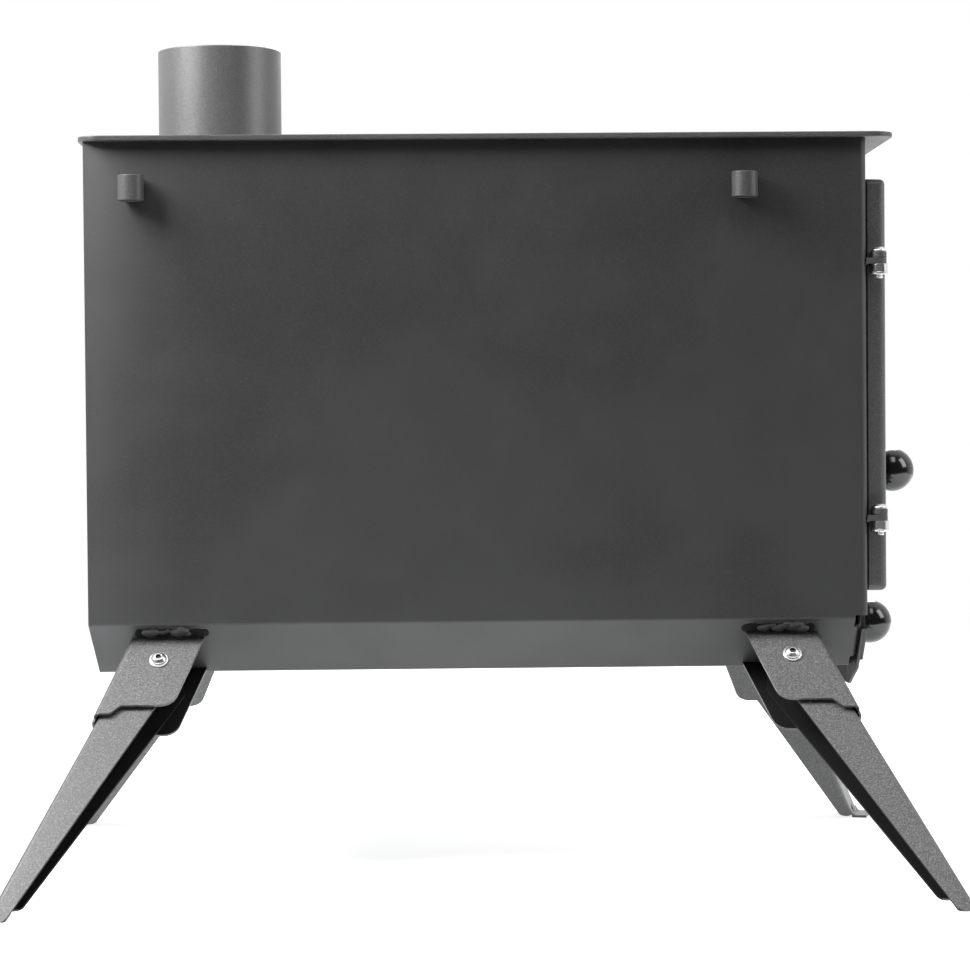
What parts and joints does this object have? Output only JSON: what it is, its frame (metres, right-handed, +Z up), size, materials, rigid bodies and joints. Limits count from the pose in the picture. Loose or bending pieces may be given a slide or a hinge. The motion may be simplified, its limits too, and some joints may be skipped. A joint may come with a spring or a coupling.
{
  "type": "tent wood stove",
  "caption": "Folded steel tent stove with sloping bottom corners, hotplate, rear flue collar, glazed front door on bolt hinges, sliding air control, ball knobs and legs that fold in.",
  "frame": {"origin": "on the ground under the middle of the overall box", "axes": "+X out of the front door, +Z up, +Y to the right of someone who faces the door"},
  "size_m": [0.6684, 0.545, 0.5915],
  "materials": {
    "steel_paint": "satin high-temperature paint with a fine speckle",
    "stainless": "bright stainless fasteners",
    "knob": "glossy black moulding",
    "seal": "knitted glass rope and tape",
    "glass": "clear ceramic glass"
  },
  "bodies": {
    "stove": {"body_shell": "steel_paint", "rear_plate": "steel_paint", "front_plate": "steel_paint", "front_stiffener": "steel_paint", "hotplate": "steel_paint", "flue_collar": "steel_paint", "baffle_rails": "steel_paint", "baffle_plate": "steel_paint", "fire_grate": "steel_paint", "rack_sockets": "steel_paint", "body_hinge_lugs": "steel_paint", "hinge_bolts": "stainless", "hinge_nuts": "stainless", "latch_keeper": "steel_paint", "air_slide_rails": "steel_paint", "bracket_front_left": "steel_paint", "bracket_front_right": "steel_paint", "bracket_rear_left": "steel_paint", "bracket_rear_right": "steel_paint", "leg_bolts": "stainless", "leg_bolt_washers": "stainless", "leg_spacers": "stainless", "leg_nuts": "stainless"},
    "door": {"door_panel": "steel_paint", "door_hinge_lugs": "steel_paint", "door_seal": "seal", "window_gasket": "seal", "door_glass": "glass", "glass_studs": "stainless", "glass_clips": "stainless", "glass_nuts": "stainless", "latch_bush": "steel_paint"},
    "latch": {"latch_shaft": "stainless", "latch_lever": "steel_paint", "latch_cam": "steel_paint", "latch_nuts": "stainless", "door_knob_stem": "stainless", "door_knob": "knob"},
    "air_control": {"air_slide": "steel_paint", "air_knob_stem": "stainless", "air_knob": "knob"},
    "leg_front_left": {"leg_front_left": "steel_paint"},
    "leg_front_right": {"leg_front_right": "steel_paint"},
    "leg_rear_left": {"leg_rear_left": "steel_paint"},
    "leg_rear_right": {"leg_rear_right": "steel_paint"}
  },
  "joints": [
    {"name": "door_hinge", "type": "hinge", "parent": "stove", "child": "door", "pos_m": [0.28071, -0.108, 0.3433], "axis": [0, 0, -1], "range_deg": [0, 170]},
    {"name": "latch_turn", "type": "hinge", "parent": "door", "child": "latch", "pos_m": [0.28681, 0.074, 0.3445], "axis": [-1, 0, 0], "range_deg": [0, 90]},
    {"name": "air_slide", "type": "slide", "parent": "stove", "child": "air_control", "axis": [0, 1, 0], "range_m": [-0.02, 0.02]},
    {"name": "leg_front_left_fold", "type": "hinge", "parent": "stove", "child": "leg_front_left", "pos_m": [0.21731, -0.12044, 0.15775], "axis": [0, 0.7071, -0.7071], "range_deg": [0, 100]},
    {"name": "leg_front_right_fold", "type": "hinge", "parent": "stove", "child": "leg_front_right", "pos_m": [0.21731, 0.12044, 0.15775], "axis": [0, 0.7071, 0.7071], "range_deg": [0, 100]},
    {"name": "leg_rear_left_fold", "type": "hinge", "parent": "stove", "child": "leg_rear_left", "pos_m": [-0.22169, -0.12044, 0.15775], "axis": [0, -0.7071, 0.7071], "range_deg": [0, 110]},
    {"name": "leg_rear_right_fold", "type": "hinge", "parent": "stove", "child": "leg_rear_right", "pos_m": [-0.22169, 0.12044, 0.15775], "axis": [0, -0.7071, -0.7071], "range_deg": [0, 110]}
  ]
}
